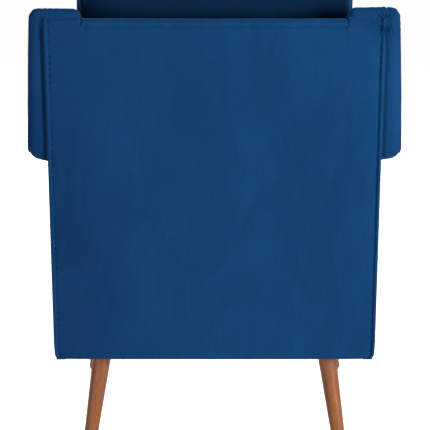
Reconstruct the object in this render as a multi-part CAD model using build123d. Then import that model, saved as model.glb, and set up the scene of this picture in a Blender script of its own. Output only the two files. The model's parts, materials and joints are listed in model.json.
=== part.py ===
from build123d import *
from math import radians, tan
import os

# Upholstered armchair: a webbed and sprung hardwood frame, padded slab arms, a loose seat cushion
# and a loose back cushion, on four splayed, tapered legs.
#
# Millimetres. +Z is up, the sitter faces -Y, and the sitter's left hand is on the +X side.
# The origin is on the floor, at the centre of the chair's footprint box.
#
# Pieces that lean with the back are placed by a height z and a depth t. The depth is measured level,
# from the raked plane of the outside back towards the sitter.

# ---------------------------------------------------------------- overall sizes
overall_width = 700.0        # across the outsides of the arms
body_width = 626.0           # across the outsides of the base and of the outside back
seat_width = 488.0           # between the insides of the arms
base_length = 650.0          # underside of the body, from front to rear
leg_height = 187.0           # floor to the underside of the upholstered body
back_top = 864.0             # height of the back's top edge
panel_top = 852.0            # height of the seam above the outside back panel
back_rake = 9.0              # degrees
back_thickness = 84.0        # outside back to inside back, measured level

# ---------------------------------------------------------------- arms
arm_rear_top = 890.0         # height of the arm's top line at the back, before its rounding
arm_front_top = 640.0
arm_rear_bottom = 597.0      # height of the arm's underside at the back
arm_front_bottom = 472.0
arm_corner_radius = 20.0
arm_rail = 20.0              # thickness of the arm's top rail
arm_top_foam = 24.0          # foam over the top rail
arm_rail_foam = 18.0         # foam on each side of the top rail
arm_side_foam = 12.0         # foam outside the ledger
arm_front_foam = 8.0         # foam in front of the top rail and the ledger
arm_rear_foam = 12.0         # foam behind them

# ---------------------------------------------------------------- seat and cushions
deck_front_height = 322.0    # top of the covered deck under the seat cushion
deck_pitch = 3.0             # degrees, high at the front
seat_cushion_thickness = 138.0
cushion_overhang = 12.0      # of the seat cushion past the front of the body
back_cushion_thickness = 158.0
back_cushion_height = 500.0
cushion_corner_radius = 24.0
cushion_cover = 2.0          # thickness of a cushion's velvet and wadding
cushion_side_gap = 0.6       # between a cushion and each arm
cushion_deck_gap = 0.4       # under the seat cushion
cushion_rear_gap = 8.0       # behind the seat cushion, for the zip
cushion_seat_gap = 0.8       # between the two cushions
back_cushion_gap = 0.8       # between the back cushion and the inside back

# ---------------------------------------------------------------- boards, skins and padding
board = 25.0                 # thickness of the frame's boards
post_depth = 50.0            # back and front posts, from front to rear
top_rail_height = 70.0
tack_rail_height = 50.0
tack_rail_rise = 40.0        # above the deck
back_top_foam = 16.0         # over the back posts
frame_lift = 3.0             # the covers hang this far below the frame
skin = 4.0                   # velvet over wadding, on the outside faces
velvet = 2.0                 # velvet over foam, on the inside faces
card = 2.0                   # stiff card behind the outside back
card_margin = 1.0            # from the card's edge to the frame's edge
inner_board = 3.0            # hardboard on the posts' inner faces, behind the foam below each arm
lining_gap = 0.3             # between the arms and what is fitted between them

# ---------------------------------------------------------------- straps, springs and deck
strap_count = 5
strap_width = 60.0
strap_thickness = 1.5
strap_low_margin = 60.0      # lowest strap above the deck
strap_high_margin = 45.0     # highest strap below the posts' tops
spring_count = 5
spring_width = 50.0
spring_step = 22.0           # from one run of a zigzag to the next
spring_bend = 0.45           # bend radius as a share of that step
wire_radius = 1.8
clip_width = 20.0
clip_depth = 12.0
clip_height = 4.0            # from the rails up to the deck cloth
clip_gap = 0.1               # above and below each clip
cloth = 1.0
deck_pad = 14.0
deck_velvet = 1.5

# ---------------------------------------------------------------- legs and underside
leg_top_radius = 18.5
leg_foot_radius = 13.0
leg_splay = 0.1456           # outwards and lengthwise, per unit of height
rear_leg_x = 222.5           # a leg's axis at its top
front_leg_x = 246.0
rear_leg_inset = 70.0        # a leg's axis at its top, from the end of the base
front_leg_inset = 97.0
glide_radius = 11.0
glide_height = 5.0
glide_edge = 2.0
leg_block = 110.0
leg_block_height = 35.0
plate_size = 62.0
plate_corner = 8.0
plate_thickness = 2.5
boss_radius = 7.0
boss_height = 12.0
bolt_radius = 4.0
bolt_reach = 26.0            # of the hanger bolt, into the leg and into the block
screw_offset = 23.0          # from the plate's centre
screw_radius = 2.0
screw_head_radius = 4.0
screw_length = 20.0
dust_cover_thickness = 1.0
dust_cover_margin = 4.0
staple_count = 11            # along each side
staple_inset = 10.0
staple_length = 10.0
staple_wire = 1.2
staple_crown = 0.6

# ---------------------------------------------------------------- zips
zip_margin = 33.4            # from each end of a zip to the cushion's side
zip_tape_width = 26.0
zip_tape = 1.0               # thickness of the tape
zip_tail = 5.0               # tape past each end of the coil
coil_width = 6.0
coil_height = 2.0
slider_length = 14.0
slider_width = 9.0
slider_cap = 1.4             # thickness over the coil
slider_start = 8.0           # from the end of the tape
pull_length = 22.0
pull_width = 6.0
pull_thickness = 1.2
pull_inset = 4.0             # from the slider's end
zip_clearance = 0.3
zip_groove = 6.5             # depth of the groove that hides each zip
zip_groove_gap = 1.0         # around the tape

# ---------------------------------------------------------------- places worked out from the sizes
lean = tan(radians(back_rake))
fall = tan(radians(deck_pitch))
rear_y = (base_length + cushion_overhang - (back_top - leg_height) * lean) / 2
front_y = rear_y - base_length
frame_bottom = leg_height + frame_lift
plate_bottom = frame_bottom - dust_cover_thickness - plate_thickness
post_top = back_top - back_top_foam
side_x = body_width / 2
inner_x = seat_width / 2
outer_x = overall_width / 2
lining_x = inner_x - lining_gap
cushion_x = inner_x - cushion_side_gap
zip_length = 2 * (cushion_x - zip_margin)
rail_outer = side_x - skin
rail_inner = rail_outer - board
post_inner = rail_inner - board
frame_t = skin + card
post_front_t = frame_t + post_depth
strap_front_t = post_front_t + strap_thickness
deck_build = clip_height + cloth + deck_pad + deck_velvet


def outside(z, t=0.0):
    """Y of the point at height z and depth t."""
    return rear_y + (z - leg_height) * lean - t


def level(z):
    """A level line of heights, as a function of y."""
    return lambda y: z


def raised(line, amount):
    """The line of heights that lies this far above another."""
    return lambda y: line(y) + amount


def deck(y):
    """Height of the covered deck."""
    return deck_front_height - (y - front_y) * fall


def arm_line(y, rear_height, front_height):
    """Height of a straight line from the arm's front to its rear end."""
    return front_height + (y - front_y) * (rear_height - front_height) / (
        outside(rear_height, skin) - front_y)


def arm_top(y):
    return arm_line(y, arm_rear_top, arm_front_top)


def arm_bottom(y):
    return arm_line(y, arm_rear_bottom, arm_front_bottom)


rail_line = raised(deck, -deck_build)
seat_top = raised(deck, seat_cushion_thickness)
foot_line = raised(seat_top, cushion_seat_gap)
arm_rail_top = raised(arm_top, -arm_top_foam)
arm_rail_bottom = raised(arm_rail_top, -arm_rail)


def meet(line, t):
    """The (y, z) point where a straight line of heights meets the raked plane at depth t."""
    slope = line(1.0) - line(0.0)
    y = outside(line(0.0), t) / (1 - slope * lean)
    return y, line(y)


def plate(points, x_low, x_high):
    """A prism of a side outline, given as (y, z) points."""
    outline = Polyline(*[(x_low, y, z) for y, z in points], close=True)
    return extrude(make_face(outline), amount=x_high - x_low, dir=(1, 0, 0))


def strip(lower, upper, y_low, t_rear, x_low, x_high):
    """A prism between two lines of heights, from a plumb front to a raked rear end."""
    points = [(y_low, lower(y_low)), (y_low, upper(y_low)), meet(upper, t_rear), meet(lower, t_rear)]
    return plate(points, x_low, x_high)


def upright(lower, upper, y_low, y_high, x_low, x_high):
    """A prism between two lines of heights, with plumb front and rear faces."""
    points = [(y_low, lower(y_low)), (y_low, upper(y_low)),
              (y_high, upper(y_high)), (y_high, lower(y_high))]
    return plate(points, x_low, x_high)


def raked(lower, upper, t_low, t_high, x_low, x_high):
    """A slab parallel to the outside back, between two lines of heights and two depths."""
    points = [meet(lower, t_low), meet(upper, t_low), meet(upper, t_high), meet(lower, t_high)]
    return plate(points, x_low, x_high)


def block(x, y, z):
    """A box from three (low, high) pairs."""
    size = (x[1] - x[0], y[1] - y[0], z[1] - z[0])
    middle = ((x[0] + x[1]) / 2, (y[0] + y[1]) / 2, (z[0] + z[1]) / 2)
    return Pos(*middle) * Box(*size)


def rising(solid_class, *sizes):
    """A cylinder or cone that stands on the origin."""
    return solid_class(*sizes, align=(Align.CENTER, Align.CENTER, Align.MIN))


def mirrored(solid):
    return mirror(solid, about=Plane.YZ)


def carve(solid, *others):
    """What is left of a piece once the pieces that it wraps or holds are taken out."""
    for other in others:
        solid = solid - other
    return solid


def group(shapes):
    return Compound(children=[solid for shape in shapes for solid in shape.solids()])


def evenly(low, high, count):
    return [low + (high - low) * i / (count - 1) for i in range(count)]


# ---------------------------------------------------------------- frame
def side_rail():
    return strip(level(frame_bottom), rail_line, front_y + skin, frame_t, rail_inner, rail_outer)


def front_rail():
    low = front_y + skin
    return upright(level(frame_bottom), rail_line, low, low + board, -rail_inner, rail_inner)


def rear_rail():
    return raked(level(frame_bottom), rail_line, frame_t, frame_t + board, -post_inner, post_inner)


def back_post():
    return raked(level(frame_bottom), level(post_top), frame_t, post_front_t, post_inner, rail_inner)


def back_top_rail():
    return raked(level(post_top - top_rail_height), level(post_top), frame_t, frame_t + board,
                 -post_inner, post_inner)


def back_tack_rail():
    low = deck(rear_y) + tack_rail_rise
    return raked(level(low), level(low + tack_rail_height), frame_t, frame_t + board,
                 -post_inner, post_inner)


def front_post():
    low = front_y + skin + board
    return upright(level(frame_bottom), arm_rail_bottom, low, low + post_depth, post_inner, rail_inner)


def arm_panel():
    """Plywood side that rises from the side rail to the arm's top rail."""
    return strip(rail_line, arm_rail_bottom, front_y + skin, frame_t, rail_inner, rail_outer)


def arm_top_rail():
    rail = strip(arm_rail_bottom, arm_rail_top, front_y + arm_front_foam, arm_rear_foam,
                 inner_x + arm_rail_foam, outer_x - arm_rail_foam)
    return carve(rail, back_post(), back_top_rail(), *back_straps())


def arm_ledger():
    """Strip that carries the overhanging outer pad of the arm."""
    low = raised(arm_bottom, skin)
    return strip(low, raised(low, board), front_y + arm_front_foam, arm_rear_foam,
                 rail_outer, outer_x - arm_side_foam)


def leg_blocks():
    """Corner blocks behind the front rail and in front of the rear rail."""
    front_low = front_y + skin + board
    rear_high = outside(frame_bottom, frame_t + board)
    z = (frame_bottom, frame_bottom + leg_block_height)
    made = []
    for y in (front_low, rear_high - leg_block):
        one = carve(block((rail_inner - leg_block, rail_inner), (y, y + leg_block), z),
                    front_post(), back_post())
        made += [one, mirrored(one)]
    return made


# ---------------------------------------------------------------- springs and straps
def spring_ends():
    """Y of the first and of the last run of each spring, over the middles of the rails."""
    return front_y + skin + board / 2, meet(rail_line, frame_t + board / 2)[0]


def spring_places():
    reach = (seat_width - spring_width) * (spring_count - 1) / spring_count / 2
    return evenly(-reach, reach, spring_count)


def on_rails(x, y):
    return Pos(x, y, rail_line(y) + clip_height / 2) * Rot(X=-deck_pitch)


def seat_spring(x):
    """One zigzag spring, from the front rail to the rear rail."""
    low, high = spring_ends()
    length = (high - low) / (1 - fall * fall / 2)
    runs = int(length / spring_step) + 1
    points = []
    for i, y in enumerate(evenly(0.0, length, runs)):
        side = spring_width / 2 * (-1) ** i
        points += [(side, y), (-side, y)]
    path = FilletPolyline(*points, radius=spring_bend * length / (runs - 1))
    section = Plane(origin=path @ 0, z_dir=path % 0) * Circle(wire_radius)
    return on_rails(x, low) * sweep(section, path=path)


def spring_clips(springs):
    """A pressed clip over each end run of each spring."""
    made = []
    for x in spring_places():
        for y in spring_ends():
            clip = on_rails(x, y) * Box(clip_width, clip_depth, clip_height - 2 * clip_gap)
            made.append(carve(clip, *springs))
    return made


def back_straps():
    """Elastic straps across the back posts."""
    lows = evenly(deck(rear_y) + strap_low_margin, post_top - strap_high_margin - strap_width,
                  strap_count)
    return [raked(level(low), level(low + strap_width), post_front_t, strap_front_t,
                  -rail_inner, rail_inner) for low in lows]


# ---------------------------------------------------------------- back upholstery
def wrapped(points):
    """A prism between the arms of (line, depth) corners."""
    return plate([meet(line, t) for line, t in points], -lining_x, lining_x)


def inside_back_foam():
    face = back_thickness - velvet
    top, shelf = level(back_top - velvet), level(post_top)
    return wrapped([(deck, face), (top, face), (top, skin), (shelf, skin), (shelf, strap_front_t),
                    (deck, strap_front_t)])


def inside_back_cover():
    face = back_thickness - velvet
    top, under, seam = level(back_top), level(back_top - velvet), level(panel_top)
    return wrapped([(deck, back_thickness), (top, back_thickness), (top, 0), (seam, 0), (seam, skin),
                    (under, skin), (under, face), (deck, face)])


def outside_back_panel():
    return raked(level(leg_height), level(panel_top), 0, skin, -side_x, side_x)


def outside_back_card():
    half = rail_outer - card_margin
    return raked(level(frame_bottom + card_margin), level(post_top), skin, frame_t, -half, half)


# ---------------------------------------------------------------- arm upholstery
def arm_envelope(inset):
    """The padded arm's shape, inset on every face."""
    x_low, x_high = inner_x + inset, outer_x - inset
    outline = Polyline(*[(x_low, y, z) for y, z in (
        (front_y, arm_front_bottom), (front_y, arm_front_top), meet(arm_top, skin),
        meet(arm_bottom, skin))], close=True)
    face = make_face(outline)
    if inset:
        face = offset(face, amount=-inset, kind=Kind.INTERSECTION)
    slab = extrude(face, amount=x_high - x_low, dir=(1, 0, 0))
    outer = [edge for edge in slab.edges() if edge.bounding_box().min.X > x_high - inset - velvet]
    ridge = [edge for edge in slab.edges() if edge.bounding_box().max.X < x_low + inset + velvet
             and edge.bounding_box().min.Z > arm_front_top - arm_corner_radius]
    cross = [edge for edge in slab.edges().filter_by(Axis.X)
             if edge.center().Z > arm_front_top - arm_corner_radius]
    return fillet(outer + ridge + cross, arm_corner_radius - inset)


def arm_frame():
    return [arm_panel(), arm_top_rail(), arm_ledger(), front_post(), back_post(), back_top_rail(),
            outside_back_card(), *back_straps()]


def arm_foam():
    return carve(arm_envelope(velvet), *arm_frame())


def arm_cover():
    return carve(arm_envelope(0.0), arm_envelope(velvet), *arm_frame())


def side_cover():
    return strip(level(leg_height), arm_bottom, front_y, skin, rail_outer, side_x)


def front_facing():
    return upright(level(leg_height), arm_bottom, front_y, front_y + skin, inner_x, rail_outer)


def inner_side(x_low, x_high):
    """One layer of the lining below the arm, on the sitter's side."""
    return strip(rail_line, arm_bottom, front_y + skin, strap_front_t, x_low, x_high)


# ---------------------------------------------------------------- deck
def front_rail_cover():
    return upright(level(leg_height), deck, front_y, front_y + skin, -lining_x, lining_x)


def deck_layer(top, thickness):
    """A layer of the deck, whose top lies this far below the deck's own."""
    return strip(raised(deck, -top - thickness), raised(deck, -top), front_y + skin, strap_front_t,
                 -lining_x, lining_x)


# ---------------------------------------------------------------- cushions
def seat_cushion(inset):
    """The seat cushion's rounded box, inset on every face."""
    rear = outside(deck(rear_y), back_thickness + cushion_rear_gap) - inset
    half = cushion_x - inset
    box = upright(raised(deck, cushion_deck_gap + inset), raised(seat_top, -inset),
                  front_y - cushion_overhang + inset, rear, -half, half)
    return fillet(box.edges(), cushion_corner_radius - inset)


def back_cushion(inset):
    """The back cushion's rounded box, standing on the seat cushion, inset on every face."""
    half = cushion_x - inset
    box = raked(raised(foot_line, inset), raised(foot_line, back_cushion_height - inset),
                back_thickness + back_cushion_gap + inset,
                back_thickness + back_cushion_thickness - inset, -half, half)
    return fillet(box.edges(), cushion_corner_radius - inset)


# ---------------------------------------------------------------- zips
def zip_tape_and_coil():
    """A closed zip along X, lying on Z = 0 with its coil upwards."""
    half, width = zip_length / 2, zip_tape_width / 2
    tape = block((-half, half), (-width, width), (0, zip_tape))
    coil = block((zip_tail - half, half - zip_tail), (-coil_width / 2, coil_width / 2),
                 (zip_tape, zip_tape + coil_height))
    return tape + coil


def zip_slider():
    """Slider and pull tab, parked at the zip's low end in X."""
    start = slider_start - zip_length / 2
    end = start + slider_length
    channel_top = zip_tape + coil_height + zip_clearance
    cap_top = channel_top + slider_cap
    body = block((start, end), (-slider_width / 2, slider_width / 2),
                 (zip_tape + zip_clearance, cap_top))
    channel = block((start, end),
                    (-coil_width / 2 - zip_clearance, coil_width / 2 + zip_clearance),
                    (zip_tape, channel_top))
    pull = block((start + pull_inset, start + pull_inset + pull_length),
                 (-pull_width / 2, pull_width / 2), (cap_top, cap_top + pull_thickness))
    return body - channel + pull


def seat_zip_place():
    """Middle of the seat cushion's rear face, with the coil towards the back."""
    rear = outside(deck(rear_y), back_thickness + cushion_rear_gap)
    middle = deck(rear) + seat_cushion_thickness / 2
    return Location(Plane(origin=(0, rear - zip_groove, middle), x_dir=(1, 0, 0), z_dir=(0, 1, 0)))


def back_zip_place():
    """Middle of the back cushion's underside, with the coil downwards."""
    y, z = meet(foot_line, back_thickness + back_cushion_thickness / 2)
    return Location(Plane(origin=(0, y, z + zip_groove), x_dir=(1, 0, 0), z_dir=(0, -fall, -1)))


def zip_pocket():
    half, width = zip_length / 2 + zip_groove_gap, zip_tape_width / 2 + zip_groove_gap
    return block((-half, half), (-width, width), (0, 2 * zip_groove))


def cushion_pieces(shape, place):
    """Core, cover, zip and slider of one cushion."""
    pocket = place * zip_pocket()
    core = shape(cushion_cover + zip_groove)
    return {"cushion_core": core, "cushion_cover": carve(shape(0.0), core, pocket),
            "zip": place * zip_tape_and_coil(), "zip_slider": place * zip_slider()}


# ---------------------------------------------------------------- legs and underside
def leg_places():
    """Name, outward sign in X, outward sign in Y, x and y of each leg's axis at its top."""
    rear, front = rear_y - rear_leg_inset, front_y + front_leg_inset
    return [("rear_left", 1, 1, rear_leg_x, rear), ("rear_right", -1, 1, -rear_leg_x, rear),
            ("front_left", 1, -1, front_leg_x, front), ("front_right", -1, -1, -front_leg_x, front)]


def leg_axis(out_x, out_y, x, y):
    """A plane at the leg's top, whose normal runs up along the leg."""
    return Plane(origin=(x, y, plate_bottom), x_dir=(1, 0, out_x * leg_splay),
                 z_dir=(-out_x * leg_splay, -out_y * leg_splay, 1))


def leg_bolt(axis):
    return axis * Pos(0, 0, -bolt_reach) * rising(Cylinder, bolt_radius, 2 * bolt_reach)


def leg(axis, bolt):
    """A turned, tapered leg, cut level at both ends."""
    slant = (1 + 2 * leg_splay ** 2) ** 0.5
    length = (plate_bottom - glide_height) * slant
    spare = leg_top_radius
    flare = (leg_top_radius - leg_foot_radius) / length * spare
    cone = axis * Pos(0, 0, -length - spare) * rising(
        Cone, leg_foot_radius - flare, leg_top_radius + flare, length + 2 * spare)
    reach = (-overall_width, overall_width)
    return carve(cone & block(reach, reach, (glide_height, plate_bottom)), bolt)


def glide(out_x, out_y, x, y):
    """A nylon disc under the leg's foot."""
    run = (plate_bottom - glide_height) * leg_splay
    disc = Pos(x + out_x * run, y + out_y * run, 0) * rising(Cylinder, glide_radius, glide_height)
    return fillet(disc.edges().sort_by(Axis.Z)[0], glide_edge)


def plate_screws(x, y):
    """Countersunk screws, one in each corner of a leg plate."""
    made = []
    for dx in (-screw_offset, screw_offset):
        for dy in (-screw_offset, screw_offset):
            head = rising(Cone, screw_head_radius, screw_radius, plate_thickness)
            shank = Pos(0, 0, plate_thickness) * rising(Cylinder, screw_radius, screw_length)
            made.append(Pos(x + dx, y + dy, plate_bottom) * (head + shank))
    return made


def leg_plate(axis, x, y, bolt, screws):
    """A pressed plate with a slanting threaded boss for the hanger bolt."""
    half = plate_size / 2
    span = ((x - half, x + half), (y - half, y + half))
    flat = block(*span, (plate_bottom, plate_bottom + plate_thickness))
    flat = fillet(flat.edges().filter_by(Axis.Z), plate_corner)
    boss = axis * rising(Cylinder, boss_radius, boss_height)
    above = block(*span, (plate_bottom, plate_bottom + 2 * boss_height))
    return carve(flat + (boss & above), bolt, *screws)


def dust_cover():
    half = rail_outer - dust_cover_margin
    return block((-half, half),
                 (front_y + skin + dust_cover_margin, outside(frame_bottom, skin + dust_cover_margin)),
                 (frame_bottom - dust_cover_thickness, frame_bottom))


def dust_cover_staples():
    edge = rail_outer - staple_inset
    low, high = front_y + skin + staple_inset, outside(frame_bottom, skin + staple_inset)
    bottom = frame_bottom - dust_cover_thickness
    z = (bottom - staple_crown, bottom)
    length, wire = staple_length / 2, staple_wire / 2
    across = [block((x - length, x + length), (y - wire, y + wire), z)
              for x in evenly(-edge, edge, staple_count) for y in (low, high)]
    along = [block((x - wire, x + wire), (y - length, y + length), z)
             for y in evenly(low, high, staple_count)[1:-1] for x in (-edge, edge)]
    return across + along


# ---------------------------------------------------------------- build everything
def leg_nodes():
    nodes = {}
    glides, bolts, plates, screws = [], [], [], []
    for name, out_x, out_y, x, y in leg_places():
        axis = leg_axis(out_x, out_y, x, y)
        bolt = leg_bolt(axis)
        corner_screws = plate_screws(x, y)
        nodes[name + "_leg"] = leg(axis, bolt)
        glides.append(glide(out_x, out_y, x, y))
        bolts.append(bolt)
        plates.append(leg_plate(axis, x, y, bolt, corner_screws))
        screws += corner_screws
    nodes["leg_glides"] = group(glides)
    nodes["hanger_bolts"] = group(bolts)
    nodes["leg_plates"] = group(plates)
    nodes["leg_plate_screws"] = group(screws)
    metal = [*bolts, *plates, *screws]
    nodes["leg_blocks"] = group(carve(one, *metal) for one in leg_blocks())
    nodes["dust_cover"] = carve(dust_cover(), *metal)
    nodes["dust_cover_staples"] = group(dust_cover_staples())
    return nodes


def frame_nodes():
    nodes = {"front_rail": front_rail(), "rear_rail": rear_rail(), "back_top_rail": back_top_rail(),
             "back_tack_rail": back_tack_rail()}
    springs = [seat_spring(x) for x in spring_places()]
    nodes["seat_springs"] = group(springs)
    nodes["spring_clips"] = group(spring_clips(springs))
    nodes["back_straps"] = group(back_straps())
    return nodes


def centre_nodes():
    return {"deck_cloth": deck_layer(deck_velvet + deck_pad, cloth),
            "deck_pad": deck_layer(deck_velvet, deck_pad),
            "deck_cover": deck_layer(0.0, deck_velvet),
            "front_rail_cover": front_rail_cover(),
            "inside_back_foam": inside_back_foam(),
            "inside_back_cover": inside_back_cover(),
            "outside_back_card": outside_back_card(),
            "outside_back_panel": outside_back_panel()}


def side_nodes():
    """The pieces that each side of the chair has, made for the left and mirrored."""
    pad_x = post_inner - inner_board
    screws = [screw for place in leg_places() for screw in plate_screws(*place[3:])]
    left = {"side_rail": side_rail(), "back_post": carve(back_post(), *screws),
            "front_post": carve(front_post(), *screws), "arm_panel": arm_panel(),
            "arm_top_rail": arm_top_rail(), "arm_ledger": arm_ledger(),
            "arm_foam": arm_foam(), "arm_cover": arm_cover(), "side_cover": side_cover(),
            "front_facing": front_facing(), "inner_side_pad": inner_side(inner_x, pad_x),
            "inner_side_board": inner_side(pad_x, post_inner)}
    nodes = {"left_" + name: shape for name, shape in left.items()}
    nodes.update({"right_" + name: mirrored(shape) for name, shape in left.items()})
    return nodes


def cushion_nodes():
    nodes = {}
    for name, shape, place in (("seat_", seat_cushion, seat_zip_place()),
                               ("back_", back_cushion, back_zip_place())):
        for piece, made in cushion_pieces(shape, place).items():
            nodes[name + piece] = made
    return nodes


os.makedirs("parts", exist_ok=True)
for make in (leg_nodes, frame_nodes, centre_nodes, side_nodes, cushion_nodes):
    for node_name, node_shape in make().items():
        export_step(node_shape, "parts/" + node_name + ".step")
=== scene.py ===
# %% [markdown]
# # A velvet armchair, piece by piece
#
# The chair is a plain hardwood frame under fabric. What people see is nearly all upholstery, so most
# cells below shape cloth: panels pulled over edges, padded arms, and two loose cushions.
# The frame file gives every board and fastener its place. Nothing here moves a part of it.

import json
import math

import bmesh
import bpy
import numpy as np
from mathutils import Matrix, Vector, noise
from mathutils.kdtree import KDTree


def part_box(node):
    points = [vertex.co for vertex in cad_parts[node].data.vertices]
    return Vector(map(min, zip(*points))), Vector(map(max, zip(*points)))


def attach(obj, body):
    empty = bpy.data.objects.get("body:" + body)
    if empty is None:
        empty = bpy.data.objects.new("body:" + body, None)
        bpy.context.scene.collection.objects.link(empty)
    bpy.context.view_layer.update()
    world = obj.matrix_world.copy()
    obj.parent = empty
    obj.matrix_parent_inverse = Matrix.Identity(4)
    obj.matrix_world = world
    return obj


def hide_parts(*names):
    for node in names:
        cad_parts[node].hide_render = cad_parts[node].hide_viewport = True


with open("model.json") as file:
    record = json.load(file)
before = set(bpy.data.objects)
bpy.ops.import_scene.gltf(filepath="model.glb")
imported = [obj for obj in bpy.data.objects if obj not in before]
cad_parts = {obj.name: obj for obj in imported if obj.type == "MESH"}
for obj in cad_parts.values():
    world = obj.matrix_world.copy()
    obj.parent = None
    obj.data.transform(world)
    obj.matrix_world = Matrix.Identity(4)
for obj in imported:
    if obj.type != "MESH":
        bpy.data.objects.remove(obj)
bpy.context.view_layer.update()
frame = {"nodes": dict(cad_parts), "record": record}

# %% [markdown]
# ## Where things are
#
# An upholsterer measures the bare frame before cutting cloth. We do the same: every place comes from
# the boxes of the frame's own pieces. The back leans, so a point on it is given by how high it is and
# how deep it lies behind the outside back, which `leaning` turns into a place in space.

# %% Measure the frame
mm = 0.001
skin = 4 * mm                      # velvet over wadding on the outside faces
deck_fall = math.tan(math.radians(3.0))

panel_low, panel_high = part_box("outside_back_panel")
base_z = panel_low.z               # underside of the upholstered body
seam_z = panel_high.z              # seam above the outside back
side_x = panel_high.x
rear_y = panel_low.y + skin        # outside back at the level of the base
lean = (panel_high.y - rear_y) / (seam_z - base_z)

arm_low, arm_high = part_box("left_arm_cover")
inner_x, outer_x = arm_low.x, arm_high.x
front_y = arm_low.y
back_low, back_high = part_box("inside_back_cover")
deck_front_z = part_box("front_rail_cover")[1].z


def plane_y(z):
    """Where the plane of the outside back is at this height."""
    return rear_y + (z - base_z) * lean


def leaning(x, z, depth=0.0):
    """A point at height z that lies this deep behind the outside back, measured level."""
    return Vector((x, plane_y(z) - depth, z))


def deck_z(y):
    """Height of the covered deck under the seat cushion."""
    return deck_front_z - (y - front_y) * deck_fall


back_thickness = leaning(0.0, back_low.z).y - back_low.y
print("body", round(2 * side_x, 3), "wide, lean", round(math.degrees(math.atan(lean)), 2), "degrees")

# %% [markdown]
# ## A node graph in a few words
#
# Every finish below is a small graph of noise and colour ramps over the object's own coordinates, so
# no picture file is needed and a pattern keeps its true size on every piece. A few helpers keep the
# graphs short: each adds one node, sets its inputs and hands back the socket that carries its result.

# %% Helpers for finishes
def new_finish(name):
    """An empty material, with its shader and the object's coordinates."""
    made = bpy.data.materials.new(name)
    made.use_nodes = True
    tree = made.node_tree
    tree.nodes.clear()
    shader = tree.nodes.new("ShaderNodeBsdfPrincipled")
    out = tree.nodes.new("ShaderNodeOutputMaterial")
    tree.links.new(shader.outputs[0], out.inputs["Surface"])
    place = tree.nodes.new("ShaderNodeTexCoord").outputs["Object"]
    return made, tree, shader, place


def stretched(tree, place, scale, turn=(0.0, 0.0, 0.0)):
    """The coordinates scaled by a different amount along each axis."""
    node = tree.nodes.new("ShaderNodeMapping")
    node.inputs["Rotation"].default_value = turn
    node.inputs["Scale"].default_value = scale
    tree.links.new(place, node.inputs["Vector"])
    return node.outputs["Vector"]


def cloudy(tree, place, scale, detail=3.0, roughness=0.55, distortion=0.0):
    """Soft noise between 0 and 1."""
    node = tree.nodes.new("ShaderNodeTexNoise")
    node.inputs["Scale"].default_value = scale
    node.inputs["Detail"].default_value = detail
    node.inputs["Roughness"].default_value = roughness
    node.inputs["Distortion"].default_value = distortion
    tree.links.new(place, node.inputs["Vector"])
    return node.outputs["Fac"]


def ramp(tree, value, *stops):
    """A colour for each value, through (position, colour) stops."""
    node = tree.nodes.new("ShaderNodeValToRGB")
    marks = node.color_ramp.elements
    while len(marks) < len(stops):
        marks.new(0.5)
    for mark, (position, colour) in zip(marks, stops):
        mark.position = position
        mark.color = (*colour, 1.0)
    tree.links.new(value, node.inputs["Fac"])
    return node.outputs["Color"]


def mixed(tree, blend, share, first, second):
    """Two colours blended; each input is a socket of the graph, a colour or a number."""
    node = tree.nodes.new("ShaderNodeMix")
    node.data_type = "RGBA"
    node.blend_type = blend
    sockets = {socket.identifier: socket for socket in node.inputs}
    for source, name in ((share, "Factor_Float"), (first, "A_Color"), (second, "B_Color")):
        if isinstance(source, bpy.types.NodeSocket):
            tree.links.new(source, sockets[name])
        elif isinstance(source, tuple):
            sockets[name].default_value = (*source, 1.0)
        else:
            sockets[name].default_value = source
    return next(socket for socket in node.outputs if socket.identifier == "Result_Color")


def spread(tree, value, low, high):
    """A value between 0 and 1 spread over another range."""
    node = tree.nodes.new("ShaderNodeMapRange")
    node.inputs["To Min"].default_value = low
    node.inputs["To Max"].default_value = high
    tree.links.new(value, node.inputs["Value"])
    return node.outputs["Result"]


def raised_by(tree, shader, *layers):
    """Bump on a shader from (value, depth in metres) layers, coarse first."""
    normal = None
    for value, depth in layers:
        node = tree.nodes.new("ShaderNodeBump")
        node.inputs["Distance"].default_value = depth
        tree.links.new(value, node.inputs["Height"])
        if normal is not None:
            tree.links.new(normal, node.inputs["Normal"])
        normal = node.outputs["Normal"]
    tree.links.new(normal, shader.inputs["Normal"])

# %% [markdown]
# ## Velvet
#
# Velvet is a dense upright pile. Seen straight on it looks dark, because light goes in between the
# fibres, and at a glancing angle the fibre tips catch light and form a paler rim. The shader's sheen
# does that rim. Where hands have brushed the pile it leans another way and shows as soft, cloudy
# patches, so the colour follows wide, slow noise. The pile itself is a very fine bump.

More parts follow.
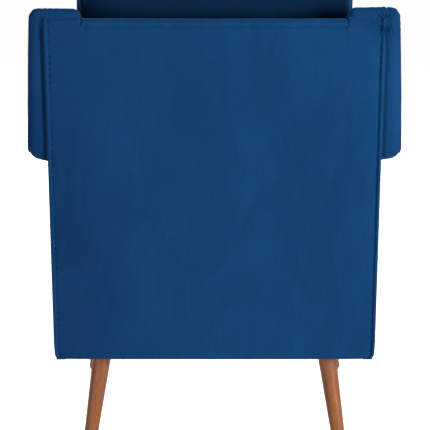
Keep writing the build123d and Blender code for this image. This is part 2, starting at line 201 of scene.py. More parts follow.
# %% Velvet finish
def velvet(name, deep, bright, sheen):
    """Brushed pile between a deep and a bright colour."""
    made, tree, shader, place = new_finish(name)
    patches = cloudy(tree, stretched(tree, place, (1.0, 1.0, 0.62)), 5.2, 4.0, 0.6, 0.7)
    strokes = cloudy(tree, stretched(tree, place, (34.0, 34.0, 9.0)), 1.0, 3.0, 0.6, 1.4)
    pile = cloudy(tree, place, 900.0, 2.0, 0.7)
    middle = tuple((d + b) / 2 for d, b in zip(deep, bright))
    body = ramp(tree, patches, (0.25, deep), (0.5, middle), (0.78, bright))
    brushed = mixed(tree, "MULTIPLY", 1.0, body,
                    ramp(tree, strokes, (0.25, (0.86, 0.89, 0.91)), (0.75, (1.10, 1.07, 1.06))))
    speckled = mixed(tree, "MULTIPLY", 1.0, brushed,
                     ramp(tree, pile, (0.3, (0.86, 0.88, 0.90)), (0.7, (1.10, 1.10, 1.10))))
    tree.links.new(speckled, shader.inputs["Base Color"])
    tree.links.new(spread(tree, strokes, 0.72, 0.92), shader.inputs["Roughness"])
    shader.inputs["Specular IOR Level"].default_value = 0.05
    shader.inputs["Sheen Weight"].default_value = sheen
    shader.inputs["Sheen Roughness"].default_value = 0.38
    shader.inputs["Sheen Tint"].default_value = (0.10, 0.46, 1.0, 1.0)
    raised_by(tree, shader, (patches, 0.0016), (strokes, 0.0009), (pile, 0.00035))
    return made


velvet_deep = (0.0012, 0.0250, 0.082)
velvet_bright = (0.0034, 0.0400, 0.122)
velvet_sheen = 0.36
navy_velvet = velvet("navy_velvet", velvet_deep, velvet_bright, velvet_sheen)
print("finish", navy_velvet.name, "with", len(navy_velvet.node_tree.nodes), "nodes")

# %% [markdown]
# ## A sheet of cloth over a face
#
# Most of the body is cloth pulled flat over boards. A modeller could start from a plane and subdivide
# it, but then the edges stay sharp. Here each panel is a grid with close rows near its edges, so it
# can roll over them, and with a hidden back, so that it is a closed piece of cloth. A height
# function says how far the cloth stands proud at each place.

# %% Cloth panel helpers
edge_band = 0.016                  # rows stand close together this near to an edge
close_rows = 0.0016
open_rows = 0.006


def marks(length, band, fine, coarse):
    """Positions along a length, close together within a band at each end."""
    ends = np.linspace(0.0, band, round(band / fine) + 1)
    middle = np.linspace(band, length - band, max(2, round((length - 2 * band) / coarse) + 1))
    return np.concatenate([ends, middle[1:-1], length - ends[::-1]])


def rolled(distance, radius):
    """How far a surface drops at this distance from an edge that it rolls over."""
    inside = np.clip(radius - distance, 0.0, radius)
    return radius - np.sqrt(np.maximum(radius ** 2 - inside ** 2, 0.0))


def waves(x, y, z=0.0):
    """Smooth noise between -1 and 1 for arrays of coordinates, in waves per metre."""
    x, y, z = np.broadcast_arrays(x, y, z)
    flat = [noise.noise(Vector(p)) for p in zip(x.ravel(), y.ravel(), z.ravel())]
    return np.array(flat).reshape(x.shape)


def eased(share):
    """A share held between 0 and 1 that starts and stops gently."""
    share = np.clip(share, 0, 1)
    return share * share * (3 - 2 * share)


def add_object(name, data):
    """A new object in the scene that shows this data."""
    piece = bpy.data.objects.new(name, data)
    bpy.context.scene.collection.objects.link(piece)
    return piece


def mesh_piece(name, points, faces, finish):
    """A smooth mesh object from points and faces, with its faces turned outwards."""
    mesh = bpy.data.meshes.new(name)
    mesh.from_pydata([tuple(p) for p in points], [], faces)
    work = bmesh.new()
    work.from_mesh(mesh)
    bmesh.ops.remove_doubles(work, verts=work.verts, dist=1e-6)
    bmesh.ops.recalc_face_normals(work, faces=work.faces)
    work.to_mesh(mesh)
    work.free()
    mesh.shade_smooth()
    mesh.materials.append(finish)
    return add_object(name, mesh)


def grid_faces(rows, columns, start=0):
    """Quads over a grid of points that are listed row by row."""
    first = [start + r * columns + c for r in range(rows - 1) for c in range(columns - 1)]
    return [(i, i + 1, i + columns + 1, i + columns) for i in first]


def closed_sheet(name, face, back, finish):
    """A closed piece of cloth between two grids of points of the same size."""
    rows, columns = face.shape[:2]
    count = rows * columns
    points = np.concatenate([face.reshape(-1, 3), back.reshape(-1, 3)])
    faces = grid_faces(rows, columns) + grid_faces(rows, columns, count)
    rim = (list(range(columns)) + [r * columns + columns - 1 for r in range(1, rows)]
           + [count - 1 - c for c in range(1, columns)] + [r * columns for r in range(rows - 2, 0, -1)])
    for here, there in zip(rim, rim[1:] + rim[:1]):
        faces.append((here, there, there + count, here + count))
    return mesh_piece(name, points, faces, finish)


def panel(name, corners, thick, height):
    """Velvet over a face with corners (low start, low end, high end, high start).
    height(u, v, wide, tall, flat) gives how far it stands proud at each place."""
    low_start, low_end, high_end, high_start = (np.array(c) for c in corners)
    along, up = low_end - low_start, high_start - low_start
    outward = np.cross(along, up)
    outward /= np.linalg.norm(outward)
    wide, tall = np.linalg.norm(along), max(np.linalg.norm(up), np.linalg.norm(high_end - low_end))
    u, v = np.meshgrid(marks(wide, edge_band, close_rows, open_rows),
                       marks(tall, edge_band, close_rows, open_rows))
    s, t = (u / wide)[..., None], (v / tall)[..., None]
    flat = (low_start * (1 - s) * (1 - t) + low_end * s * (1 - t)
            + high_end * s * t + high_start * (1 - s) * t)
    proud = height(u, v, wide, tall, flat)
    face = flat + outward * proud[..., None]
    return closed_sheet(name, face, flat - outward * thick, navy_velvet)


def soft(u, v, wide, tall, flat, edge=0.005, crown=0.002, ripple=0.0006):
    """A padded panel's height: rolled edges, a slight crown and soft ripples."""
    sides = np.minimum(np.minimum(u, wide - u), np.minimum(v, tall - v))
    bulge = (1 - np.abs(2 * u / wide - 1) ** 4) * (1 - np.abs(2 * v / tall - 1) ** 4)
    x, y, z = flat[..., 0], flat[..., 1], flat[..., 2]
    ripples = waves(9 * x, 9 * y, 9 * z) + 0.4 * waves(31 * x, 31 * y, 31 * z + 5)
    return crown * bulge - rolled(sides, edge) + ripple * ripples * np.minimum(1.0, sides / 0.012)


def keep_on(piece, node, body="chair"):
    """The piece stands for a node of the frame and rides with its body."""
    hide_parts(node)
    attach(piece, body)

# %% [markdown]
# ## The outside back
#
# The outside back goes on last. Its upper edge is back-tacked under the roll of the inside back, and
# its sides are folded round a metal tooth strip and pressed shut, which leaves a round fold like a
# piping along each side with small tooth marks just inside it. The lower edge is pulled under and
# stapled. The lower corners are rounded by the folded cloth.

# %% Outside back
fold_radius = 3.4 * mm             # round fold down each side
tooth_line = 8.4 * mm              # tooth marks, from the edge
tooth_pitch = 13.0 * mm
corner_round = 13.0 * mm           # lower corners
low_taper = 2.2 * mm               # the sides draw in towards the base
taper_height = 45.0 * mm
under_roll = 8.0 * mm
corner_rise = 15.0 * mm            # beside the roll the cloth reaches up over the arm
gather_z = seam_z + 4 * mm         # the pleats fan out from here at each upper corner
gather_reach = 24.0 * mm
pleat_count = 17                   # in a full turn about the gathered point
back_crown = 3.2 * mm              # fullness of the wadding under the panel
tooth_depth = 2.6 * mm
tooth_width = 1.7 * mm
tuck_depth = 7.0 * mm              # the upper edge dives under the roll
crease_depth = 2.2 * mm
corner_roll = 12.0 * mm            # the cloth rolls over the tops of the arms' rear faces


def gather_depth(x):
    """Depth of the gathered pleats: the two corners were not pulled equally tight."""
    return np.where(x < 0, 3.6, 1.5) * mm


def body_half_width(z):
    """Half the width of the body at a height: it draws in and rounds off at the base."""
    above = z - base_z
    drawn = low_taper * np.clip(1 - above / taper_height, 0, 1) ** 2
    return side_x - drawn - rolled(above, corner_round)


def back_top_z(x):
    """Upper edge of the outside back: beside the roll it reaches up over the arms' rear faces."""
    return seam_z + corner_rise * eased((np.abs(x) - inner_x + 3 * mm) / (5 * mm))


def fan(across, up, seed):
    """Pleats that fan out from a point, between -1 and 1, strongest close to it."""
    reach, turn = np.hypot(across, up), np.arctan2(up, across)
    folds = np.cos(turn * pleat_count + 1.8 * waves(reach * 45, turn * 1.7, seed))
    return folds * np.exp(-(reach / gather_reach) ** 2) * np.clip((reach - 2 * mm) / (8 * mm), 0, 1)


def outside_back_height(x, z):
    """How far the outside back stands proud of the back's plane."""
    side = body_half_width(z) - np.abs(x)
    top, bottom = back_top_z(x) - z, z - base_z
    inner = np.clip(side - 2 * fold_radius, 0.0, None)
    crown = back_crown * (1 - np.exp(-inner / 0.035)) * (1 - np.exp(-np.clip(top, 0, None) / 0.03))
    fold = fold_radius * np.sqrt(np.clip(1 - ((side - fold_radius) / fold_radius) ** 2, 0, 1))
    phase = 2 * math.pi * z / tooth_pitch + 2.5 * waves(z * 14, np.sign(x) * 3)
    strength = (0.75 + 0.5 * waves(z * 11, np.sign(x) * 7)) * np.where(x > 0, 1.0, 0.45)
    teeth = (np.exp(-((side - tooth_line) / tooth_width) ** 2) * strength
             * np.clip(0.35 + 0.9 * np.cos(phase), 0.06, 1))
    pulls = np.exp(-inner / 0.016) * np.clip(inner / 0.003, 0, 1) * waves(z * 105, x * 18, 3)
    puckers = np.exp(-top / 0.015) * waves(x * 62, z * 12, 9) * np.clip(side / 0.01, 0, 1)
    behind_arm = np.clip((np.abs(x) - inner_x) / 0.01, 0, 1)
    tucked = np.exp(-top / 0.0048) * (1 - behind_arm)
    creases = (behind_arm * np.exp(-np.clip(seam_z - 4 * mm - z, 0, None) / 0.010)
               * waves(x * 16, z * 150 + 8 * x, np.sign(x) * 2))
    pleats = fan(np.abs(x) - side_x + 2 * mm, z - gather_z, 5 * np.sign(x)) * gather_depth(x)
    slow = waves(x * 6, z * 4, 1) + 0.35 * waves(x * 19, z * 9, 2)
    return (crown + fold - tooth_depth * teeth + 0.7 * mm * pulls + 1.1 * mm * puckers
            - tuck_depth * tucked + crease_depth * creases + 0.8 * pleats
            + 0.9 * mm * slow * np.clip(inner / 0.02, 0, 1)
            - rolled(bottom, under_roll) - behind_arm * rolled(top, corner_roll))


def make_outside_back():
    """The whole panel, on a grid of shares of its width and height."""
    across = marks(2.0, 0.05, 0.0035, 0.009) - 1.0
    rise = marks(1.0, 0.024, 0.0021, 0.004)
    share, up = np.meshgrid(across, rise)
    x = share * side_x
    z = base_z + up * (back_top_z(x) - base_z)
    x = share * body_half_width(z)
    proud = outside_back_height(x, z)
    behind = plane_y(z)
    face = np.stack([x, behind + proud, z], axis=-1)
    hidden = np.stack([x * 0.996, behind - skin, np.maximum(z, base_z + 1 * mm)], axis=-1)
    return closed_sheet("outside_back", face, hidden, navy_velvet)


outside_back = make_outside_back()
keep_on(outside_back, "outside_back_panel")
print("outside back", len(outside_back.data.polygons), "faces")

# %% [markdown]
# ## A block with rounded edges
#
# Arms and cushions are thick, so they start as blocks. A cube with a bevel would do, but its faces
# would have no rows to bend. This helper covers a block with one closed grid, pushes every point on to
# the rounding, and remembers which row each point is in. Seams are then found by their rows.

# %% Rounded block helper
def rounded_block(rows, radius):
    """Closed grid over a block. rows are three lists of positions from 0 to each size.
    Returns local points, faces and the row numbers of each point."""
    index, points, faces = {}, [], []
    size = np.array([line[-1] for line in rows])

    def point(key):
        """The number of the point in these rows, made when it is first asked for."""
        if key not in index:
            index[key] = len(points)
            flat = np.array([line[k] for line, k in zip(rows, key)])
            core = np.clip(flat, radius, size - radius)
            way = flat - core
            points.append(core + radius * way / np.linalg.norm(way))
        return index[key]

    for axis in range(3):
        first, second = [a for a in range(3) if a != axis]
        for end in (0, len(rows[axis]) - 1):
            for i in range(len(rows[first]) - 1):
                for j in range(len(rows[second]) - 1):
                    corner = []
                    for di, dj in ((0, 0), (1, 0), (1, 1), (0, 1)):
                        key = [0, 0, 0]
                        key[axis], key[first], key[second] = end, i + di, j + dj
                        corner.append(point(tuple(key)))
                    faces.append(tuple(corner))
    return np.array(points), faces, np.array(list(index))


def mesh_rows(mesh, what="co"):
    """The places or the normals of a mesh's vertices, one row each."""
    flat = np.empty(len(mesh.vertices) * 3)
    mesh.vertices.foreach_get(what, flat)
    return flat.reshape(-1, 3)


def vertex_places(piece):
    """The places of a piece's vertices."""
    return mesh_rows(piece.data)


def vertex_normals(piece):
    """The outward ways of a piece's vertices."""
    return mesh_rows(piece.data, "normal")


def place_vertices(piece, places):
    """Moves a piece's vertices to these places."""
    piece.data.vertices.foreach_set("co", np.ascontiguousarray(places).ravel())
    piece.data.update()


def swell(piece, amount):
    """Moves each point out along its normal by its amount in metres."""
    place_vertices(piece, vertex_places(piece) + vertex_normals(piece) * np.asarray(amount)[:, None])


# %% [markdown]
# ## Foam
#
# The upholstery foam is cream, with a fine open cell structure and a faintly mottled colour. It is
# only seen when a cover is opened, but it is a piece of its own and gets a finish of its own.

# %% Foam finish
def speckled_finish(name, first, second, scale, grain, depth, rough):
    """A matt finish with slow colour clouds and a fine grain."""
    made, tree, shader, place = new_finish(name)
    clouds = cloudy(tree, place, scale, 4.0, 0.6)
    cells = cloudy(tree, place, grain, 2.0, 0.75)
    colour = mixed(tree, "MULTIPLY", 1.0, ramp(tree, clouds, (0.3, first), (0.7, second)),
                   ramp(tree, cells, (0.35, (0.82, 0.82, 0.82)), (0.6, (1.0, 1.0, 1.0))))
    tree.links.new(colour, shader.inputs["Base Color"])
    tree.links.new(spread(tree, clouds, rough - 0.08, rough + 0.06), shader.inputs["Roughness"])
    raised_by(tree, shader, (clouds, depth * 2), (cells, depth))
    return made


foam_finish = speckled_finish("cut_foam", (0.78, 0.70, 0.52), (0.86, 0.80, 0.64), 7.0, 620.0, 0.0004, 0.9)
print("finish", foam_finish.name)

# %% [markdown]
# ## The arms
#
# Each arm is a slab of foam over a rail and a ledger, wider than the body under it. One length of
# velvet goes over the top and both sides, and its spare cloth at the upper rear corner is gathered
# into small pleats that fan out from where the outside back begins. Underneath, the cloth is tucked
# and pinned. The slab leans in a little towards its top.

# %% Arms
arm_round = 17.0 * mm
arm_front_top_z = 640.0 * mm
arm_rear_top_z = 886.0 * mm
arm_front_low_z = arm_low.z
arm_rear_low_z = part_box("left_side_cover")[1].z
top_draw = 10.5 * mm               # the outer face leans in by this much at the top
low_flare = 0.5 * mm
arm_nominal_height = 0.25          # the plain slab, before it takes the arm's slopes
arm_nominal_length = rear_y + 0.1 - front_y
arm_width = outer_x - inner_x
right_rise = 2.0 * mm              # the right arm is a touch fuller at its upper rear corner
left_under_slope = 11.0 * mm       # the underside falls towards the chair, more on the left
right_under_slope = 6.0 * mm
under_slope_middle = 0.55          # share of the overhang that keeps its height
arm_crown = 2.4 * mm
filling_gap = 2.0 * mm             # wadding between the velvet and the foam


def between(share, front, rear):
    """A height that changes evenly from the front of the arm to its rear."""
    return front + share * (rear - front)


def arm_place(local, under_slope):
    """Local (along, across, up) positions to places on the left arm."""
    along = local[:, 0] / arm_nominal_length
    up = local[:, 2] / arm_nominal_height
    low_z = between(along, arm_front_low_z, arm_rear_low_z)
    z = between(up, low_z, between(along, arm_front_top_z, arm_rear_top_z))
    y = between(along, front_y, plane_y(z) - skin)
    across = local[:, 1] / arm_width
    draw = low_flare - (low_flare + top_draw) * up * along
    outward = np.clip((local[:, 1] - side_x + inner_x) / (outer_x - side_x), 0, 1)
    z += under_slope * (outward - under_slope_middle) * (1 - up) ** 3
    return np.stack([inner_x + local[:, 1] + draw * across, y, z], axis=-1)


def arm_swell(p, side):
    """How far the arm's velvet stands proud: fullness, pleats, tucks and soft ripples."""
    x, y, z = np.abs(p[:, 0]), p[:, 1], p[:, 2]
    seed = 4.0 * side
    behind = plane_y(z) - y
    pleats = (fan(x - side_x - 1 * mm + 0.5 * (behind - skin), z - gather_z, seed)
              * np.exp(-np.clip(behind - skin, 0, None) / 0.03) * gather_depth(p[:, 0]))
    low_z = between((y - front_y) / arm_nominal_length, arm_front_low_z, arm_rear_low_z)
    tucks = np.exp(-((z - low_z - 0.004) / 0.016) ** 2) * waves(y * 85, x * 30, seed)
    slow = waves(x * 9, y * 6, z * 8 + seed) + 0.4 * waves(x * 26, y * 20, z * 24 + seed)
    rear_face = np.exp(-np.clip(behind - skin, 0, None) / 0.01)
    inner_roll = rear_face * (x < side_x) * np.clip((z - seam_z) / 0.008, 0, 1)
    creases = waves(x * 22, 0.0, z * 210 + seed) * inner_roll
    recess = rear_face * np.exp(-((x - side_x - 2 * mm) / 0.005) ** 2) * np.clip((gather_z - z) / 0.02, 0, 1)
    return (pleats + 0.5 * mm * tucks + 1.1 * mm * slow + 1.7 * mm * creases
            + 0.8 * mm * inner_roll - 3.0 * mm * recess)


def arm_block(side, name, finish, fine, coarse):
    """The arm's plain slab, before any fullness."""
    rows = [marks(arm_nominal_length, 0.036, fine, coarse), marks(arm_width, 0.042, fine, coarse),
            marks(arm_nominal_height, 0.040, fine, coarse)]
    local, faces, _ = rounded_block(rows, arm_round)
    places = arm_place(local, left_under_slope if side > 0 else right_under_slope)
    places[:, 0] *= side
    return mesh_piece(name, places, faces, finish)


def make_arm(side, name):
    """The velvet of one arm, with its fullness and pleats."""
    arm = arm_block(side, name, navy_velvet, 0.0018, 0.007)
    full = vertex_places(arm)
    crown = arm_crown * np.clip(1 - np.abs((full[:, 2] - (arm_low.z + arm_high.z) / 2) / 0.22) ** 2, 0, 1)
    full[:, 2] += (1 - side) * 0.5 * right_rise * np.clip((full[:, 2] - seam_z) / 0.03, 0, 1)
    place_vertices(arm, full)
    swell(arm, arm_swell(full, side) + crown * (np.abs(vertex_normals(arm)[:, 0]) > 0.9))
    return arm


for side, prefix in ((1, "left"), (-1, "right")):
    arm = make_arm(side, prefix + "_arm")
    keep_on(arm, prefix + "_arm_cover")
    foam = arm_block(side, prefix + "_arm_filling", foam_finish, 0.009, 0.02)
    swell(foam, np.full(len(foam.data.vertices), -skin - filling_gap))
    keep_on(foam, prefix + "_arm_foam")
    print(arm.name, len(arm.data.polygons), "faces, over foam")

# %% [markdown]
# ## The body's sides and front
#
# Below the arms the body is a flat box, covered by thin wadding and velvet. Each of these covers is a
# panel with rolled edges. They meet at plain seams, and the lower edges are pulled under the frame.

# %% Sides, facings and front
def lower_roll(u, v, wide, tall, flat):
    """A side cover's height, with the body's rounded lower rear corner."""
    proud = soft(u, v, wide, tall, flat, edge=0.006, crown=0.0022, ripple=0.0007)
    rear_gap = plane_y(flat[..., 2]) - flat[..., 1]
    near_rear = np.exp(-np.clip(rear_gap - skin, 0, None) / 0.060)
    drawn_in = side_x - body_half_width(flat[..., 2])
    return proud - drawn_in * near_rear


under_lap = 8.0 * mm               # the lower covers run up behind the arm's underside
lining_rear = 58.0 * mm            # the inner side pads stop this far inside the outside back
lining_low = 12.0 * mm             # and reach this far below the deck
lining_thick = 11.0 * mm
lower_thick = skin - 0.4 * mm
side_rear_low = leaning(0, base_z, skin)
side_rear_high = leaning(0, arm_rear_low_z, skin)
low_z_rise = (arm_rear_low_z - arm_front_low_z) / (side_rear_high.y - front_y)


def outwards(corners, side):
    """The corners of a left-hand panel, in the order that suits the side it is on."""
    return corners if side > 0 else [corners[1], corners[0], corners[3], corners[2]]


def front_corners(low, high, lap=0.0):
    """Corners of the front of a box, which may run up past its top."""
    return [(low.x, low.y, low.z), (high.x, low.y, low.z),
            (high.x, low.y, high.z + lap), (low.x, low.y, high.z + lap)]


def make_side(side, name):
    """The velvet of the body's side below one arm."""
    x = side * (side_x - 0.6 * mm)
    corners = [(x, front_y, base_z), (x, side_rear_low.y, base_z),
               (x, side_rear_high.y, arm_rear_low_z + under_lap), (x, front_y, arm_front_low_z + under_lap)]
    return panel(name, outwards(corners, side), skin - 0.8 * mm, lower_roll)


def make_lining(side, name, rear):
    """The thin pad that lines the inside of one arm, from the front to this place at the rear."""
    x = side * inner_x
    front = front_y + skin
    top = arm_front_low_z + under_lap
    corners = [(x, rear, deck_z(rear) - lining_low), (x, front, deck_z(front_y) - lining_low),
               (x, front, top), (x, rear, top + (rear - front_y) * low_z_rise)]
    return panel(name, outwards(corners, side), lining_thick,
                 lambda *a: soft(*a, crown=-0.001, ripple=0.0004))


for side, prefix in ((1, "left"), (-1, "right")):
    keep_on(make_side(side, prefix + "_side"), prefix + "_side_cover")
    facing_corners = front_corners(*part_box(prefix + "_front_facing"), under_lap)
    keep_on(panel(prefix + "_facing", facing_corners, lower_thick, soft), prefix + "_front_facing")
    pad_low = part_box(prefix + "_inner_side_pad")[0]
    lining = make_lining(side, prefix + "_inner_side", plane_y(pad_low.z) - lining_rear)
    keep_on(lining, prefix + "_inner_side_pad")
rail_front = panel("front_rail_velvet", front_corners(*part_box("front_rail_cover")), lower_thick, soft)
keep_on(rail_front, "front_rail_cover")
print("front rail cover", len(rail_front.data.polygons), "faces")

# %% [markdown]
# ## The inside back
#
# Behind the back cushion, velvet runs over foam from the deck up to the top rail, rolls over it, and is
# tacked down at the back. The roll is the bright strip above the outside back, and its tacked edge is
# puckered where the cloth was eased. The piece is drawn as one outline, seen from the side, and swept
# from arm to arm.

# %% Inside back
top_roll = 12.0 * mm               # radius of the roll over the tacked edge
roll_proud = 2.0 * mm              # the roll hangs over the outside back by this much
front_roll = 14.0 * mm
top_fall = 7.0 * mm                # the top slopes down towards the sitter
ledge_z = seam_z - 1 * mm


def arc(centre, radius, start, end, count):
    """Points on an arc, as (depth, height), with angles in degrees from straight ahead."""
    turns = np.radians(np.linspace(start, end, count))
    return [(centre[0] + radius * math.cos(t), centre[1] + radius * math.sin(t)) for t in turns]


def even_steps(line, fine, coarse, fine_length):
    """Points along a line: close together over its first stretch, then further apart."""
    line = np.array(line)
    run = np.concatenate([[0], np.cumsum(np.linalg.norm(np.diff(line, axis=0), axis=1))])
    near = np.linspace(0, fine_length, round(fine_length / fine) + 1)
    far = np.linspace(fine_length, run[-1], round((run[-1] - fine_length) / coarse) + 1)
    steps = np.concatenate([near, far[1:]])
    return np.stack([np.interp(steps, run, line[:, 0]), np.interp(steps, run, line[:, 1])], axis=-1), steps


def sideways(line):
    """Unit normals of a line in its plane, to its left."""
    way = np.gradient(line, axis=0)
    way /= np.linalg.norm(way, axis=1)[:, None]
    return np.stack([-way[:, 1], way[:, 0]], axis=-1)


def back_outline(fine):
    """The inside back seen from the side, from the tacked edge over the top and down to the deck."""
    front = back_thickness - 0.4 * mm
    top_z = ledge_z + top_roll
    line = [(5 * mm, ledge_z - 3 * mm), (1.5 * mm, ledge_z - 2 * mm)]
    line += arc((top_roll - roll_proud, ledge_z), top_roll, 190, 80, 15)
    line += arc((front - front_roll, top_z - top_fall - front_roll), front_roll, 84, 0, 10)
    line += [(front, back_low.z + 8 * mm), (front - 4 * mm, back_low.z + 1 * mm)]
    return even_steps(line, fine, 7 * mm, 0.105)


def in_space(x, flat):
    """Outline points of (depth, height) at these distances across the chair."""
    depth, z = flat[..., 0], flat[..., 1]
    return np.stack([x, plane_y(z) - depth, z], axis=-1)


def make_inside_back():
    """The velvet: puckered near its tacked edge, and slightly uneven below."""
    line, run = back_outline(1.3 * mm)
    across = marks(back_high.x - back_low.x, 0.02, 0.0016, 0.005) + back_low.x
    x, along = np.meshgrid(across, run)
    ends = np.minimum(x - back_low.x, back_high.x - x)
    near_seam = np.exp(-np.clip(along - 0.006, 0, None) / 0.010)
    gather = waves(x * 70, along * 14, 4) + 0.5 * waves(x * 150, along * 30, 6)
    slow = waves(x * 7, along * 9, 2)
    proud = (1.5 * mm * near_seam * gather + 0.9 * mm * slow * np.clip(along / 0.02, 0, 1)
             - rolled(ends, 2.5 * mm))
    way = sideways(line)
    outline = line[:, None, :] + way[:, None, :] * proud[..., None]
    hidden = np.broadcast_to((line - way * 3 * mm)[:, None, :], outline.shape)
    return closed_sheet("inside_back", in_space(x, outline), in_space(x, hidden), navy_velvet)


def make_back_foam():
    """The foam under the inside back: a layer that follows the same outline."""
    outline, _ = back_outline(5 * mm)
    outline = outline[3:]
    x = marks(back_high.x - back_low.x - 12 * mm, 0.02, 0.01, 0.03) + back_low.x + 6 * mm
    layers = [in_space(np.broadcast_to(x, (len(outline), len(x))),
                       np.broadcast_to((outline - sideways(outline) * depth)[:, None, :],
                                       (len(outline), len(x), 2)))
              for depth in (4 * mm, 11 * mm)]
    return closed_sheet("inside_back_filling", *layers, foam_finish)


inside_back = make_inside_back()
keep_on(inside_back, "inside_back_cover")
back_foam = make_back_foam()
keep_on(back_foam, "inside_back_foam")
print("inside back", len(inside_back.data.polygons), "faces")

# %% [markdown]
# ## The deck
#
# The deck under the seat cushion is a thin pad under cloth. It slopes down towards the back, so that
# the sitter is held in, and is stitched to the front rail's velvet.

# %% Deck
deck_low, deck_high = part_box("deck_cover")
deck_plan = [(deck_low.x, deck_low.y), (deck_high.x, deck_low.y),
             (deck_high.x, deck_high.y), (deck_low.x, deck_high.y)]
deck = panel("deck_velvet", [(x, y, deck_z(y)) for x, y in deck_plan], 2.4 * mm,
             lambda *a: soft(*a, crown=0.0, edge=0.002, ripple=0.0003) - 0.2 * mm)
keep_on(deck, "deck_cover")
print("deck", len(deck.data.polygons), "faces, from y", round(deck_low.y, 3), "to", round(deck_high.y, 3))

# %% [markdown]
# ## Loose cushions by cloth simulation
#
# Each cushion is a velvet case, sewn from a top, a bottom and a boxing strip, over a foam block. Foam
# pushes the case outwards everywhere except at its seams, which pull in a little and pucker. Blender's
# cloth does exactly that: the block starts slightly small, inner pressure swells it, and the seam rows
# are allowed to shrink. Gravity is off, because the foam carries its own weight. Afterwards the case is
# pressed back where it rests on the chair.

# %% Cushion by simulation
largest_swell = 0.028              # foam under the case stops it from ballooning
foam_hold = 0.55                   # how far the foam evens out each face of the case
cloth_steps = 20
case_round = 0.012                 # rounding of the case's edges before it swells
start_shrink = 0.018               # the case starts this much smaller than the cushion
foam_inset = 0.020                 # the foam block lies this far inside the cushion's box
foam_round = 0.045


def seam_rows(keys, counts, seam_axis):
    """1 for each grid point on the two seam loops, which run round the block's edges."""
    first, second = [axis for axis in range(3) if axis != seam_axis]
    on_end = (keys[:, seam_axis] == 0) | (keys[:, seam_axis] == counts[seam_axis] - 1)
    on_rim = np.zeros(len(keys), bool)
    for axis in (first, second):
        on_rim |= (keys[:, axis] == 0) | (keys[:, axis] == counts[axis] - 1)
    return on_end & on_rim


def nearest_in(places):
    """A tree that finds the nearest of these places and its number."""
    tree = KDTree(len(places))
    for number, place in enumerate(places):
        tree.insert(place, number)
    tree.balance()
    return tree


def swollen_case(name, size, seam_axis):
    """A cushion case around the origin: its size is (across, along, up), in metres."""
    start = np.array(size) - start_shrink
    rows = [marks(length, 0.020, 0.005, 0.0105) for length in start]
    local, faces, keys = rounded_block(rows, case_round)
    case = mesh_piece(name, local - start / 2, faces, navy_velvet)
    lookup = nearest_in(local - start / 2)
    order = [lookup.find(vertex.co)[1] for vertex in case.data.vertices]
    on_seam = seam_rows(keys, [len(line) for line in rows], seam_axis)[order]
    seam = case.vertex_groups.new(name="seam")
    seam.add([int(i) for i in np.flatnonzero(on_seam)], 1.0, "REPLACE")
    cloth = case.modifiers.new("case", "CLOTH")
    cloth.settings.quality = 6
    cloth.settings.mass = 0.25
    cloth.settings.tension_stiffness = 25
    cloth.settings.compression_stiffness = 20
    cloth.settings.bending_stiffness = 1.2
    cloth.settings.air_damping = 6
    cloth.settings.use_pressure = True
    cloth.settings.uniform_pressure_force = 4.0
    cloth.settings.shrink_min = 0.0
    cloth.settings.shrink_max = 0.035
    cloth.settings.vertex_group_shrink = "seam"
    cloth.settings.effector_weights.gravity = 0.0
    cloth.collision_settings.use_self_collision = False
    for step in range(1, cloth_steps + 1):
        bpy.context.scene.frame_set(step)
    ready = bpy.data.meshes.new_from_object(case.evaluated_get(bpy.context.evaluated_depsgraph_get()))
    before = vertex_places(case)
    case.modifiers.remove(cloth)
    moved = mesh_rows(ready) - before
    length = np.maximum(np.linalg.norm(moved, axis=1), 1e-9)
    held = moved * (largest_swell * np.tanh(length / largest_swell) / length)[:, None]
    ends = keys[order]
    for axis in range(3):
        for end in (0, len(rows[axis]) - 1):
            face = ends[:, axis] == end
            held[face, axis] += foam_hold * (held[face, axis].mean() - held[face, axis])
    place_vertices(case, before + held)
    bpy.context.scene.frame_set(1)
    print(name, "swelled by up to", round(float(length.max()) * 1000, 1), "mm")
    return case


def refine(piece):
    """Applies one level of subdivision surface, keeping the weight of the seam rows."""
    smooth = piece.modifiers.new("refine", "SUBSURF")
    smooth.levels = 1
    with bpy.context.temp_override(object=piece, active_object=piece, selected_objects=[piece]):
        bpy.ops.object.modifier_apply(modifier=smooth.name)


def seam_weight(piece):
    """How far each vertex belongs to a seam, from 0 to 1."""
    weights = np.zeros(len(piece.data.vertices))
    for vertex in piece.data.vertices:
        for member in vertex.groups:
            weights[vertex.index] = member.weight
    return weights


def fitted(points, low, high):
    """The points scaled so that their box is this one."""
    own_low, own_high = points.min(axis=0), points.max(axis=0)
    return low + (points - own_low) / (own_high - own_low) * (np.array(high) - low)


# %% [markdown]
# ## Fitting a cushion to the chair
#
# The swollen case is scaled to the cushion's own box, which is tilted with the deck or with the back.
# Where it touches an arm, the deck or the back it is flat, because foam takes the shape of what it is
# pressed against. The seams get a fine groove with a low ridge of turned cloth on each side, and small
# puckers that die out within a few centimetres.

# %% Cushion details
def extent(node, axes):
    """Lowest and highest reach of a frame node along each of three directions."""
    along = mesh_rows(frame["nodes"][node].data) @ axes.T
    return along.min(axis=0), along.max(axis=0)


def pressed(values, bound, way, softness=0.0022):
    """Values kept on one side of a bound with a soft bend: way 1 keeps them above it, -1 below it."""
    return bound + way * softness * np.logaddexp(0.0, way * (values - bound) / softness)


def seam_distance(piece):
    """Distance from each vertex to the nearest seam."""
    places = vertex_places(piece)
    seams = nearest_in(places[seam_weight(piece) > 0.9])
    return np.array([seams.find(place)[2] for place in places])


